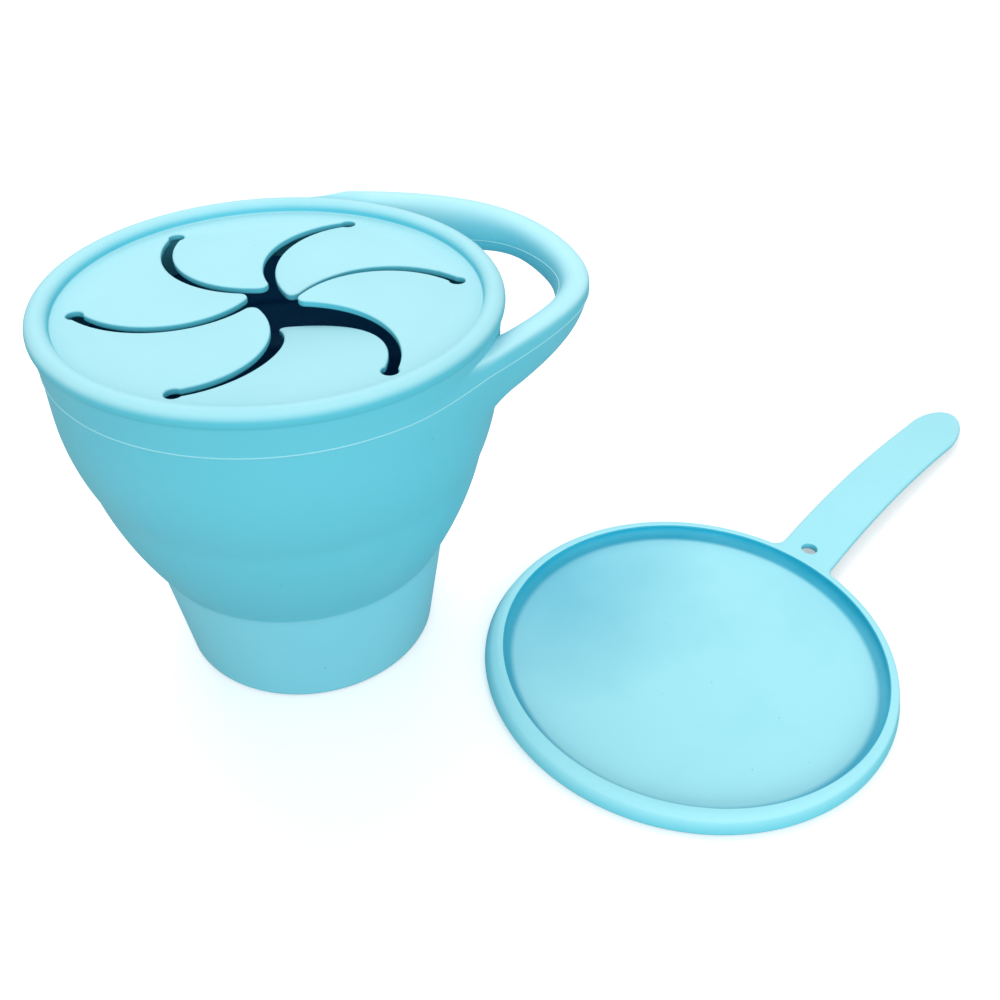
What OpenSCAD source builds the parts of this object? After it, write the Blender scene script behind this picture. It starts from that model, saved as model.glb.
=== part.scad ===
// Collapsible snack cup with a slit snack lid, and its cover with a strap lying beside it.
// Millimetres, +Z up. The origin is the centre of the cup's foot, on the table.
// +X runs along the handle. The cover lies upside down on the same table.

/* [Cup wall] */
// Radius of the base wall, carried down to the table
base_r = 29.8; // [27:0.1:31]
// Rounding under the foot's outer edge
foot_round = 1.4; // [0.8:0.1:2.4]
// Height of the base tier, up to the lower crease
base_h = 28; // [24:0.5:32]
// How much wider the lower crease is than the foot
base_flare = 3.9; // [3:0.1:5]
// Height of the middle tier, from the lower to the upper crease
mid_h = 26; // [24:0.5:30]
// How much wider the upper crease is than the lower one
mid_flare = 9.4; // [8:0.1:11]
// How far the middle tier swells past a straight taper
mid_bulge = 1.15; // [0.2:0.05:1.5]
// Height of the top tier, from the upper crease to the straight collar
top_h = 18; // [15:0.5:22]
// How far the top tier swells past a straight taper
top_bulge = 0.85; // [0.2:0.05:1.2]
// How much wider the straight collar is than the upper crease
top_flare = 3.3; // [3:0.1:4.5]
// Height of the straight collar
collar_h = 8.25; // [7:0.25:11]
// Height of the flare above it, up to the shoulder under the lid
flare_h = 6.45; // [5:0.05:8]
// How much wider the shoulder is than the straight collar
shoulder_flare = 0.55; // [0.2:0.05:1]

/* [Folds and walls] */
// Wall of the base tier and the middle ring
wall_t = 2; // [1.5:0.1:2.4]
// Wall of the collar
collar_t = 2.4; // [1.8:0.1:2.6]
// Wall of the two thin folds
fold_t = 1; // [0.7:0.1:1.3]
// Height of the thin lower fold above its crease
low_fold_h = 14; // [11:0.5:16]
// Height of the thin upper fold above its crease
up_fold_h = 10; // [8:0.5:12]
// Thickness of the floor
floor_t = 2.2; // [1.6:0.1:3]
// Rounding between the floor and the wall inside
floor_round = 3; // [1.5:0.5:5]
// Thickness of the lip that stands up into the lid
lip_t = 1.4; // [1:0.1:1.7]
// Height of that lip above the shoulder
lip_h = 1.2; // [0.8:0.1:1.4]

/* [Handle] */
// How far the handle's outer edge stands out from the collar
handle_out = 25.3; // [22:0.1:34]
// Half the spread of the handle's loop at its shoulders
handle_spread = 27.2; // [25:0.2:36]
// Thickness of the handle's band at the tip of the loop
handle_tip_t = 6.4; // [5:0.2:9]
// Thickness of the band along its two arms
handle_arm_t = 6.9; // [4:0.1:8]
// Height of the band at the tip of the loop
handle_tip_h = 8.3; // [7:0.1:12]
// Height of the band where it leaves the collar
handle_root_h = 16.8; // [13:0.2:18]
// Height of the band's middle over the collar's parting line, at the tip of the loop
handle_tip_rise = 0.3; // [-3:0.1:3]
// Height of the band's middle over the parting line where it leaves the collar
handle_root_rise = -0.7; // [-4:0.1:2]
// Angle by which the band leans outwards at its top
handle_lean = 14.9; // [0:0.1:20]
// Height of the far arm over the near one, as the soft loop hangs
handle_roll = 5.4; // [0:0.2:7]

/* [Snack lid] */
// How far the lid's bead stands out past the cup's shoulder
bead_out = 0.55; // [0.3:0.05:1.5]
// Width of the rounded bead
bead_w = 4.5; // [4:0.1:5]
// Height of the lid's skin over the cup's shoulder
skin_rise = 0.7; // [0.5:0.1:1]
// Height of the bead above the skin
bead_rise = 2.6; // [2:0.1:3]
// Thickness of the skin
skin_t = 1.5; // [1:0.1:2]
// Thickness of the plug skirt inside the collar
skirt_t = 2.2; // [1.5:0.1:3]
// Depth of the plug skirt below the skin
skirt_h = 8.9; // [6:0.1:11]
// Clearance all round between the lid and the collar
lid_gap = 0.3; // [0.2:0.05:0.4]

/* [Slits] */
// Turn of the slits about the cup's axis
slit_turn = 41.4; // [0:0.1:60]
// How far inside the plug skirt the slits' end holes are centred
end_hole_inset = 3.1; // [2.6:0.1:4.5]
// Radius of a slit's end hole
end_hole_r = 1.7; // [1.2:0.1:2.2]
// Radius of a slit's arc, over the radius on which the end holes lie
slit_curve = 0.543; // [0.52:0.001:0.6]
// Angle between a slit's arc radius at its hole and the line to the centre
slit_lean = 34.5; // [32:0.5:37]
// Width of a slit
slit_w = 2.4; // [1.4:0.1:3]
// Rounding at the tip of a flap
flap_tip_r = 1.8; // [1:0.1:2.4]
// Gap that stands for the thin hinge line at the root of a flap
hinge_gap = 0.2; // [0.1:0.05:0.4]

/* [Cover] */
// Direction from the cup's axis to the cover's centre
cover_way = -42.4; // [-90:0.2:-20]
// Room on the table between the cup's foot and the cover
cover_apart = 15.8; // [4:0.2:60]
// Thickness of the cover's rim outside its groove
cover_wall = 1.4; // [1:0.1:3]
// Thickness of the cover's plate
plate_t = 1.8; // [1.4:0.1:2]
// Height of the cover's rim over the table
cover_h = 4.7; // [4.6:0.1:7]
// Radial width of the lip that snaps under the lid's bead
snap_w = 3.6; // [2.8:0.1:4]
// Height of that lip
snap_h = 1.3; // [1:0.1:1.6]
// Clearance between the cover's groove and the lid's bead
cover_gap = 0.3; // [0.2:0.05:0.5]
// Rounding on the cover's outer edges
cover_round = 1.2; // [0.6:0.1:1.4]

/* [Cover strap] */
// Direction of the strap from the cover's centre
strap_turn = 13.8; // [-10:0.2:40]
// Length of the strap beyond the cover's edge
strap_l = 96; // [70:1:100]
// Width of the strap at its root
strap_root_w = 15.4; // [12:0.2:18]
// Width of the strap at its widest
strap_w = 16.8; // [15:0.2:22]
// Thickness of the strap
strap_t = 2; // [1.5:0.1:2.5]
// How far the strap arches above a straight line
strap_arch = 1.6; // [1:0.1:4]
// Height of the strap's underside over the table at its tip
strap_tip_z = 0.2; // [0.1:0.1:0.6]
// How far the strap's tip curls to one side
strap_bow = 3.8; // [0:0.2:6]
// Rounding where the strap runs into the cover's edge
strap_fillet = 2; // [1:0.5:4]
// Radius of the round hole at the strap's root
strap_hole_r = 2.2; // [1.6:0.1:2.8]
// Distance of that hole's centre beyond the cover's edge
strap_hole_x = 4.6; // [4:0.1:6.4]

/* [Hidden] */
$fn = 96;

// Radii of the wall, from the foot up
low_crease_r = base_r + base_flare;
up_crease_r = low_crease_r + mid_flare;
collar_r = up_crease_r + top_flare;
shoulder_r = collar_r + shoulder_flare;
bore_r = collar_r - collar_t;
lip_r = bore_r + lip_t;

// Levels of the wall, from the table up
low_crease_z = base_h;
mid_ring_z = low_crease_z + low_fold_h;
up_crease_z = low_crease_z + mid_h;
collar_z = up_crease_z + up_fold_h;
straight_z = up_crease_z + top_h;
parting_z = straight_z + collar_h;
shoulder_z = parting_z + flare_h;
lip_z = shoulder_z + lip_h;

// Levels and radii of the lid
lid_r = shoulder_r + bead_out;
skin_z = shoulder_z + skin_rise;
bead_z = skin_z + bead_rise;
bead_round = bead_w / 2;
lid_foot_z = shoulder_z + lid_gap;
groove_z = lip_z + lid_gap;
skirt_r = bore_r - lid_gap;
hinge_z = skin_z - skin_t / 2;

// The six slits
slit_n = 6;
slit_step = 360 / slit_n;
end_hole_pitch = skirt_r - skirt_t - end_hole_inset;
slit_arc_r = slit_curve * end_hole_pitch;
slit_x = end_hole_pitch - slit_arc_r * cos(slit_lean);
slit_y = -slit_arc_r * sin(slit_lean);
slit_sweep = 112;
hinge_r = end_hole_pitch * cos(slit_step / 2);
hinge_bead_r = skin_t / 2;
frame_edge = hinge_r + hinge_bead_r + hinge_gap;

// The handle's loop: its reach and levels, how deep it starts in the collar, and its rings
handle_reach = collar_r + handle_out;
handle_tip_z = parting_z + handle_tip_rise;
handle_root_z = parting_z + handle_root_rise;
handle_start_x = 8;
handle_sink = 1.2;
handle_seat = 0.03;
handle_start_r = collar_r - handle_arm_t / 2 - handle_sink;
handle_pull = 5.4;
handle_tuck = 22.2;
handle_steps = 18;
handle_sides = 24;
handle_corner = 0.75;
handle_flare = 3;

// The cover and the strap
cover_groove_r = lid_r + cover_gap;
cover_r = cover_groove_r + cover_wall;
cover_x = (base_r + cover_apart + cover_r) * cos(cover_way);
cover_y = (base_r + cover_apart + cover_r) * sin(cover_way);
snap_r = cover_r - snap_w;
strap_steps = 24;
strap_rise = cover_h - strap_tip_z - strap_t;
strap_bow_r = (pow(strap_l / 2, 2) + pow(strap_arch, 2)) / (2 * strap_arch);
strap_dip = atan(strap_rise / strap_l);
strap_bend_x = strap_hole_x + strap_hole_r + 3;
strap_end_gap = 0.2;
cut = 1;
far = 200;

// Radius of a tier's outer face: a straight taper with a parabolic swell
function tier_r(z, z0, r0, z1, r1, bulge) =
    let (t = (z - z0) / (z1 - z0))
    r0 + (r1 - r0) * t + 4 * bulge * t * (1 - t);

// Outer radius of the cup at a level
function wall_r(z) =
    z <= low_crease_z ? tier_r(z, 0, base_r, low_crease_z, low_crease_r, 0) :
    z <= up_crease_z ? tier_r(z, low_crease_z, low_crease_r, up_crease_z, up_crease_r, mid_bulge) :
    z <= straight_z ? tier_r(z, up_crease_z, up_crease_r, straight_z, collar_r, top_bulge) :
    z <= parting_z ? collar_r :
    tier_r(z, parting_z, collar_r, shoulder_z, shoulder_r, 0);

// Levels from z0 to z1 in about 2.5 mm steps
function levels(z0, z1) =
    let (n = ceil((z1 - z0) / 2.5))
    [for (i = [0:n]) z0 + (z1 - z0) * i / n];

// Points of an arc
function arc(x, y, r, a0, a1, n = 8) = [for (i = [0:n])
    let (a = a0 + (a1 - a0) * i / n) [x + r * cos(a), y + r * sin(a)]];

function reversed(v) = [for (i = [len(v) - 1:-1:0]) v[i]];

// A ring of the cup's wall between two levels, with one thickness
module wall_band(z0, z1, t) {
    rotate_extrude() polygon(concat(
        [for (z = levels(z0, z1)) [wall_r(z), z]],
        [for (z = reversed(levels(z0, z1))) [wall_r(z) - t, z]]));
}

module cup_base() {
    foot_x = wall_r(foot_round) - foot_round;
    floor_x = wall_r(floor_t + floor_round) - wall_t - floor_round;
    color([0.48, 0.80, 0.87])
    rotate_extrude() polygon(concat(
        [[0, 0]],
        arc(foot_x, foot_round, foot_round, -90, 0),
        [for (z = levels(foot_round, low_crease_z)) if (z > foot_round) [wall_r(z), z]],
        [[low_crease_r - wall_t, low_crease_z]],
        arc(floor_x, floor_t + floor_round, floor_round, 0, -90),
        [[0, floor_t]]));
}

module lower_fold() {
    color([0.42, 0.76, 0.84]) wall_band(low_crease_z, mid_ring_z, fold_t);
}

module middle_ring() {
    color([0.42, 0.77, 0.85]) wall_band(mid_ring_z, up_crease_z, wall_t);
}

module upper_fold() {
    color([0.41, 0.76, 0.84]) wall_band(up_crease_z, collar_z, fold_t);
}

// The stiff top ring, with the shoulder under the lid and the lip that stands up into it
module cup_collar() {
    lip_round = lip_t / 3;
    color([0.41, 0.77, 0.84])
    rotate_extrude() polygon(concat(
        [for (z = levels(collar_z, straight_z)) [wall_r(z), z]],
        [[collar_r, parting_z], [shoulder_r, shoulder_z], [lip_r, shoulder_z]],
        arc(lip_r - lip_round, lip_z - lip_round, lip_round, 0, 90, 4),
        arc(bore_r + lip_round, lip_z - lip_round, lip_round, 90, 180, 4),
        [[bore_r, straight_z]],
        [for (z = reversed(levels(collar_z, straight_z))) if (z < straight_z)
            [wall_r(z) - collar_t, z]]));
}

// Half of the loop's middle line in plan, as a cubic Bezier curve from the collar to the tip
handle_line = [
    [handle_start_x, sqrt(pow(handle_start_r, 2) - pow(handle_start_x, 2))],
    [collar_r + handle_pull, handle_spread],
    [handle_reach - handle_tip_t / 2, handle_tuck],
    [handle_reach - handle_tip_t / 2, 0]];

function bezier(p, t) = pow(1 - t, 3) * p[0] + 3 * pow(1 - t, 2) * t * p[1]
    + 3 * (1 - t) * t * t * p[2] + t * t * t * p[3];

function bezier_way(p, t) = let (d = pow(1 - t, 2) * (p[1] - p[0])
    + 2 * (1 - t) * t * (p[2] - p[1]) + t * t * (p[3] - p[2])) d / norm(d);

function blend(a, b, t) = a + (b - a) * t;
function smooth(t) = let (s = min(1, max(0, t))) s * s * (3 - 2 * s);
function signed_pow(v, e) = sign(v) * pow(abs(v), e);

// One ring round the handle's band, at parameter t of the half loop, on the side s
function handle_ring(t, s) =
    let (c = bezier(handle_line, t),
         way = bezier_way(handle_line, t),
         out = [-way[1], way[0]],
         rise = smooth(t * 1.1),
         half_w = blend(handle_arm_t, handle_tip_t, smooth(t * 1.6 - 0.6)) / 2,
         inner_w = half_w + handle_flare * pow(1 - t, 3),
         half_h = blend(handle_root_h, handle_tip_h, rise) / 2,
         mid_z = blend(handle_root_z, handle_tip_z, rise) + s * c[1] * handle_roll / (2 * handle_spread))
    [for (i = [0:handle_sides - 1])
        let (a = 360 * i / handle_sides,
             h = half_h * signed_pow(sin(a), handle_corner),
             w = (cos(a) > 0 ? half_w : inner_w) * signed_pow(cos(a), handle_corner)
                 + h * tan(handle_lean))
        [c[0] + out[0] * w, s * (c[1] + out[1] * w), mid_z + h]];

// A closed tube through rings of the same number of points
module skin_rings(rings) {
    n = len(rings[0]);
    last = len(rings) - 1;
    polyhedron(
        points = [for (ring = rings) each ring],
        faces = concat(
            [for (j = [0:last - 1], i = [0:n - 1], f = [0:1])
                let (a = j * n + i, b = a + n, c = j * n + (i + 1) % n, d = c + n)
                f == 0 ? [a, b, d] : [a, d, c]],
            [[for (i = [0:n - 1]) i]],
            [[for (i = [n - 1:-1:0]) last * n + i]]));
}

// The cup's outer form, filled and grown by a hair, up to the shoulder
module cup_form(grow) {
    rotate_extrude() polygon(concat(
        [[0, up_crease_z]],
        [for (z = levels(up_crease_z, straight_z)) [wall_r(z) + grow, z]],
        [[collar_r + grow, parting_z], [shoulder_r + grow, shoulder_z + grow], [0, shoulder_z + grow]]));
}

// The finger loop. It is cut to the collar's face, and clears the lid's bead above the shoulder.
module carry_handle() {
    far_side = [for (k = [0:handle_steps]) handle_ring(k / handle_steps, 1)];
    near_side = [for (k = [handle_steps - 1:-1:0]) handle_ring(k / handle_steps, -1)];
    color([0.58, 0.88, 0.94])
    difference() {
        skin_rings(concat(far_side, near_side));
        cup_form(handle_seat);
        translate([0, 0, shoulder_z]) cylinder(r = lid_r + lid_gap, h = far);
    }
}

// A ring sector along one slit, and the round hole that ends it
module slit_cut(k) {
    rotate([0, 0, slit_turn + k * slit_step]) {
        translate([slit_x, slit_y, skin_z - skin_t - cut])
        rotate([0, 0, slit_lean])
        rotate_extrude(angle = slit_sweep)
        translate([slit_arc_r - slit_w / 2, 0]) square([slit_w, skin_t + 2 * cut]);
        end_hole();
    }
}

module end_hole() {
    translate([end_hole_pitch, 0, skin_z - skin_t - cut])
    cylinder(r = end_hole_r, h = skin_t + 2 * cut);
}

// Bead, groove over the cup's lip, plug skirt and the skin out to the flaps' hinge lines
module lid_frame() {
    bead_x = lid_r - bead_round;
    bead_mid_z = bead_z - bead_round;
    foot_turn = asin((bead_mid_z - lid_foot_z) / bead_round);
    color([0.64, 0.90, 0.94])
    difference() {
        rotate_extrude() polygon(concat(
            [[0, skin_z - skin_t], [skirt_r - skirt_t, skin_z - skin_t],
             [skirt_r - skirt_t, skin_z - skin_t - skirt_h], [skirt_r, skin_z - skin_t - skirt_h],
             [skirt_r, groove_z], [lip_r + lid_gap, groove_z], [lip_r + lid_gap, lid_foot_z]],
            arc(bead_x, bead_mid_z, bead_round, -foot_turn, 180, 20),
            [[lid_r - bead_w, skin_z], [0, skin_z]]));
        for (k = [0:slit_n - 1]) slit_cut(k);
        translate([0, 0, skin_z - skin_t - cut])
        rotate([0, 0, slit_turn])
        linear_extrude(skin_t + 2 * cut)
        polygon([for (k = [0:slit_n - 1])
            frame_edge / cos(slit_step / 2) * [cos(k * slit_step), sin(k * slit_step)]]);
    }
}

// Centre of slit k's arc
function slit_centre(k) = let (a = k * slit_step)
    [slit_x * cos(a) - slit_y * sin(a), slit_x * sin(a) + slit_y * cos(a)];

// Centre of the circle that rounds the flap's tip, between the two slits beside the flap
function tip_centre() =
    let (p = slit_centre(0), q = slit_centre(1), d = norm(q - p),
         ra = slit_arc_r + slit_w / 2 + flap_tip_r,
         rb = slit_arc_r - slit_w / 2 - flap_tip_r,
         a = (ra * ra - rb * rb + d * d) / (2 * d),
         u = (q - p) / d)
    p + a * u + sqrt(ra * ra - a * a) * [-u[1], u[0]];

// A flap in plan: the crescent between two slits' arcs, with its inner cusp rounded
module flap_plan() {
    p = slit_centre(0);
    q = slit_centre(1);
    tip = tip_centre();
    ta = tip + flap_tip_r * (p - tip) / norm(p - tip);
    tb = tip + flap_tip_r * (tip - q) / norm(tip - q);
    across = (tb - ta) / norm(tb - ta);
    inward = [-across[1], across[0]] * end_hole_pitch;
    side = 2 * flap_tip_r * across;
    difference() {
        translate(q) circle(r = slit_arc_r - slit_w / 2);
        translate(p) circle(r = slit_arc_r + slit_w / 2);
        polygon([ta - side, tb + side, tb + side + inward, ta - side + inward]);
        for (k = [0:1]) rotate(k * slit_step) translate([end_hole_pitch, 0]) circle(r = end_hole_r);
    }
    translate(tip) circle(r = flap_tip_r);
}

// One flap, with the round root that it bends about
module flap(k) {
    color([0.69, 0.93, 0.97])
    rotate([0, 0, slit_turn + k * slit_step])
    intersection() {
        translate([0, 0, skin_z - skin_t]) linear_extrude(skin_t) flap_plan();
        rotate([0, 0, slit_step / 2]) union() {
            translate([0, -far / 2, skin_z - skin_t - cut]) cube([hinge_r, far, skin_t + 2 * cut]);
            translate([hinge_r, far / 2, hinge_z]) rotate([90, 0, 0])
            cylinder(r = hinge_bead_r, h = far);
        }
    }
}

// Half the strap's width at a distance u beyond the cover's edge
function strap_half_w(u) =
    let (root = u >= strap_fillet ? 0
             : strap_fillet - sqrt(pow(strap_fillet, 2) - pow(strap_fillet - max(u, 0), 2)),
         body = blend(strap_root_w, strap_w, smooth(u / (strap_l * 0.6))) / 2,
         left = (strap_l - u) / (strap_w * 0.72))
    root + body * (left >= 1 ? 1 : sqrt(max(0, 1 - pow(1 - left, 2.2))));

// How far the strap's middle lies to one side at a distance u beyond the cover's edge
function strap_side(u) = strap_bow * pow(u / strap_l, 2);

// The strap's outline from u0 to u1
module strap_plan(u0, u1) {
    us = [for (i = [0:strap_steps])
        u0 + (u1 - u0) * sin(90 * i / strap_steps)];
    polygon(concat(
        [for (u = us) [u, strap_side(u) + strap_half_w(u)]],
        [for (i = [strap_steps:-1:0]) if (strap_half_w(us[i]) > 0)
            [us[i], strap_side(us[i]) - strap_half_w(us[i])]]));
}

// The strap's arched thickness, as the space between two round shells across its length
module strap_arch_shell() {
    translate([strap_l / 2, 0, (cover_h + strap_tip_z + strap_t) / 2])
    rotate([0, strap_dip, 0])
    translate([0, 0, strap_arch - strap_bow_r])
    rotate([90, 0, 0])
    difference() {
        cylinder(r = strap_bow_r, h = strap_w * 2, center = true);
        cylinder(r = strap_bow_r - strap_t, h = strap_w * 3, center = true);
    }
}

// Level of the strap's mid thickness at a distance u beyond the cover's edge
function strap_mid_z(u) = let (t = u / strap_l)
    cover_h - strap_rise * t + 4 * strap_arch * t * (1 - t) - strap_t / 2;

module at_cover_edge() {
    translate([cover_x, cover_y, 0]) rotate([0, 0, strap_turn]) translate([cover_r, 0, 0]) children();
}

// The cover, upside down on the table, with the stub that carries the strap's hole
module cover_disc() {
    color([0.62, 0.93, 0.96])
    union() {
        translate([cover_x, cover_y, 0])
        rotate_extrude() polygon(concat(
            [[0, 0]],
            arc(cover_r - cover_round, cover_round, cover_round, -90, 0),
            arc(cover_r - cover_round, cover_h - cover_round, cover_round, 0, 90),
            [[snap_r, cover_h], [snap_r, cover_h - snap_h * 0.6],
             [cover_groove_r, cover_h - snap_h], [cover_groove_r, plate_t], [0, plate_t]]));
        at_cover_edge()
        difference() {
            intersection() {
                translate([0, 0, -cut]) linear_extrude(cover_h + strap_arch + 2 * cut)
                strap_plan(-cover_round, strap_bend_x - strap_t / 2 - strap_end_gap);
                strap_arch_shell();
            }
            translate([strap_hole_x, 0, -cut]) cylinder(r = strap_hole_r, h = far);
        }
    }
}

// The free length of the strap, with the round root that it bends about
module cover_strap() {
    color([0.62, 0.91, 0.95])
    at_cover_edge()
    union() {
        intersection() {
            translate([0, 0, -cut]) linear_extrude(cover_h + strap_arch + 2 * cut)
            strap_plan(strap_bend_x, strap_l);
            strap_arch_shell();
        }
        translate([strap_bend_x, strap_side(strap_bend_x) + strap_half_w(strap_bend_x),
            strap_mid_z(strap_bend_x)])
        rotate([90, 0, 0]) cylinder(r = strap_t / 2, h = 2 * strap_half_w(strap_bend_x));
    }
}

cup_base();
lower_fold();
middle_ring();
upper_fold();
cup_collar();
carry_handle();
lid_frame();
flap(0);  // flap_1
flap(1);  // flap_2
flap(2);  // flap_3
flap(3);  // flap_4
flap(4);  // flap_5
flap(5);  // flap_6
cover_disc();
cover_strap();
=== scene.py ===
"""Looks of a collapsible silicone snack cup, its slit snack lid and its cover. Metres, +Z up."""

from math import asin, atan2, cos, dist, hypot, pi, radians, sin, sqrt, tan

import bmesh
import bpy
from mathutils import Matrix, Vector


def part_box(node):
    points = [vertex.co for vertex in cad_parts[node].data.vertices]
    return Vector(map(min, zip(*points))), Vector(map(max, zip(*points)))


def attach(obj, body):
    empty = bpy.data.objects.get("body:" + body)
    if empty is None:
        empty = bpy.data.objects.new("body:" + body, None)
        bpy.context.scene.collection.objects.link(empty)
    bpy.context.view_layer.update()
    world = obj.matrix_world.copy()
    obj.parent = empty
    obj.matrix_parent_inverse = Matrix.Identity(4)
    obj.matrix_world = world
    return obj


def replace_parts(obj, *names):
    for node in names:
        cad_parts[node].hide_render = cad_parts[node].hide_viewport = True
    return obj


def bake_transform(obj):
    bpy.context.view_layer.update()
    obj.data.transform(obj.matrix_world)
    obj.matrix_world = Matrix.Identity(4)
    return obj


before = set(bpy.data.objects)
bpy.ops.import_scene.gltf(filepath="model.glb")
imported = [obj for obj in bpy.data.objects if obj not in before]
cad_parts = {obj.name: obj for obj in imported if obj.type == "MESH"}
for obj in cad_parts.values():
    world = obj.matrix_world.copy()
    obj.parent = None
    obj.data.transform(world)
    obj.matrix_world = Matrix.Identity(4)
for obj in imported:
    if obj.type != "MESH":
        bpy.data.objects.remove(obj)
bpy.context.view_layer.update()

MM = 0.001

# Levels and radii that come from the frame
BASE_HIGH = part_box("cup_base")[1]
RING_LOW, RING_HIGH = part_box("middle_ring")
COLLAR_LOW, COLLAR_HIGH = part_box("cup_collar")
LID_LOW, LID_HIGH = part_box("lid_frame")
FLAP_LOW, FLAP_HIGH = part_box("flap_1")
COVER_LOW, COVER_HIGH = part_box("cover_disc")

LOW_CREASE_R = BASE_HIGH.x
LOW_CREASE_Z = BASE_HIGH.z
UP_CREASE_R = RING_HIGH.x
UP_CREASE_Z = RING_HIGH.z
MID_RING_Z = RING_LOW.z
COLLAR_Z = COLLAR_LOW.z
SHOULDER_R = COLLAR_HIGH.x
LIP_Z = COLLAR_HIGH.z
LID_R = LID_HIGH.x
BEAD_Z = LID_HIGH.z
SKIRT_Z = LID_LOW.z
SKIN_Z = FLAP_HIGH.z
SKIN_T = FLAP_HIGH.z - FLAP_LOW.z

# The cup's wall
BASE_R = 29.8 * MM
FOOT_ROUND = 1.6 * MM
COLLAR_R = 46.4 * MM
STRAIGHT_Z = 72 * MM
PARTING_Z = 80.25 * MM
SHOULDER_Z = 86.7 * MM
MID_BULGE = 1.15 * MM
TOP_BULGE = 0.85 * MM
BORE_R = 44 * MM
LIP_R = 45.4 * MM
FLOOR_T = 2.2 * MM
FLOOR_ROUND = 3 * MM
WALL_T = 2 * MM
FOLD_T = 1 * MM
COLLAR_T = 2.4 * MM
CREASE_ROUND = 1.6 * MM
SEAM_Z = 48 * MM
WALL_STEP = 0.7 * MM
AROUND = 264
# Material slots of the cup and the dish, after the first one: darker copies that paint shade inside
# the cup and the dish, and a lighter copy that paints light on the base tier
INSIDE, BASE_TIER = 1, 2

# The finger loop
LOOP_OUT = 71.7 * MM
LOOP_SPREAD = 27.2 * MM
LOOP_PULL = 51.8 * MM
LOOP_TUCK = 22.2 * MM
LOOP_TIP_T = 6.4 * MM
LOOP_ARM_T = 6.9 * MM
LOOP_TIP_H = 8.3 * MM
LOOP_ROOT_H = 16.8 * MM
LOOP_TIP_Z = 80.55 * MM
LOOP_ROOT_Z = 79.55 * MM
LOOP_START = Vector((8, 40.98)) * MM
LOOP_FLARE = 3 * MM
LOOP_LEAN = radians(14.9)
LOOP_ROLL = 5.4 * MM / (2 * LOOP_SPREAD)
LOOP_STEPS = 60
LOOP_SIDES = 56
LOOP_CORNER = 0.75
LINE_R = 0.16 * MM
# How the loop's skin runs out into the cup's wall: a lead-in round the wall, soft corners, the most
# that it sinks in, and its top held down below the lid's bead near the root
LEAD_TURN = radians(16)
LEAD_STEPS = 10
LEAD_T = LEAD_STEPS / LOOP_STEPS
MELT = 4 * MM
MELT_TOP = 1.3 * MM
MELT_END = 0.12
MELT_SUNK = 0.04 * MM
MELT_DEEP = 0.8 * MM
MELT_DIP = 0.5 * MM
DIP_SQUASH = 0.1
DIP_T = (0, 0.12)
DIP_Z = 88.8 * MM
DIP_SLOPE = 0.9
NOTCH = 1.6 * MM

# The lid's slits
SLITS = 6
SLIT_STEP = 2 * pi / SLITS
SLIT_TURN = radians(41.4)
HOLE_PITCH = 38.4 * MM
HOLE_R = 1.7 * MM
SLIT_R = 20.851 * MM
SLIT_LEAN = radians(34.5)
SLIT_W = 2.4 * MM
SLIT_POINTS = 0.5 * MM
TIP_R = 1.8 * MM
HINGE_R = HOLE_PITCH * cos(SLIT_STEP / 2)
EDGE_ROUND = 0.4 * MM
SKIN_EDGE_R = 41 * MM
BEAD_W = 4.5 * MM
LID_GAP = 0.3 * MM
SKIRT_T = 2.2 * MM
FLAP_CUTS = 39
# How far each flap's tip hangs below the skin
DROOP = (0, 0, 0, 4 * MM, 0, 1.5 * MM)

# The cover and its strap
COVER_R = (COVER_HIGH.y - COVER_LOW.y) / 2
COVER_AT = Vector((COVER_LOW.x + COVER_R, COVER_LOW.y + COVER_R, 0))
COVER_H = 4.7 * MM
PLATE_T = 1.5 * MM
RIM_W = 3.6 * MM
RIM_SHIFT = Vector((1.08, 0, 0)) * MM
LIP_UNDERCUT = 0.5 * MM
DISH_R = COVER_R - RIM_W + LIP_UNDERCUT
DISH_AT = COVER_AT + RIM_SHIFT + Vector((0, 0, PLATE_T))
RIM_ROUND = 1.7 * MM
RIM_DRAFT = 0.7 * MM
FOOT_EDGE = 1.6 * MM
DISH_COVE = 2.2 * MM
# Where the cup's shade is painted on the cover's dish floor: the painted sheen drops to half there
COVER_CUP_SHADE = Vector((58, -26, 2)) * MM
STRAP_TURN = radians(13.8)
STRAP_L = 98.4 * MM
STRAP_W = 15 * MM
STRAP_T = 2 * MM
STRAP_TAPER = 80 * MM
STRAP_SINK = 0.02 * MM
STRAP_ARCH = 1.6 * MM
STRAP_TIP_Z = 0.2 * MM
STRAP_ROOT_SIDE = -1.6 * MM
STRAP_TIP_SIDE = 2.4 * MM
STRAP_BOW = 1.5 * MM
STRAP_SKEW = 0.09
STRAP_FILLET = 4 * MM
STRAP_HOLE = (3.6 * MM, -0.7 * MM)
STRAP_HOLE_R = 2.05 * MM
STRAP_HOLE_ROUND = 0.35 * MM
STRAP_EDGE_ROUND = 0.9 * MM
STRAP_ON_RIM = 0.6 * MM
STRAP_IN_RIM = 2 * MM
STRAP_CUTS = 63
STRAP_CUT_STEP = 1.5 * MM

# The camera, from the fit to the photograph's ellipses
CAMERA_AT = Vector((-63.08, -187.44, 186.73)) * MM
CAMERA_YAW = radians(32.38)
CAMERA_DOWN = radians(38.14)
CAMERA_ROLL = radians(1.05)
CAMERA_LENS = 37.57

# The table and the light
TABLE_SIZE = 3
TABLE_GLOW = 0.35
WORLD_LIGHT = 0.62
LIGHT_AIM = (0.03, -0.02, 0.05)

# Tolerances: levels and places that count as the same
LEVEL = 1e-7
PLACE = 1e-6
ON_EDGE = 1e-5


# Helpers

def smooth(t):
    s = min(1, max(0, t))
    return s * s * (3 - 2 * s)


def mix(a, b, t):
    return a + (b - a) * t


def spread(a, b, step):
    """Values from a to b about a step apart, both ends in."""
    n = max(1, round(abs(b - a) / step))
    return [mix(a, b, i / n) for i in range(n + 1)]


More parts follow.
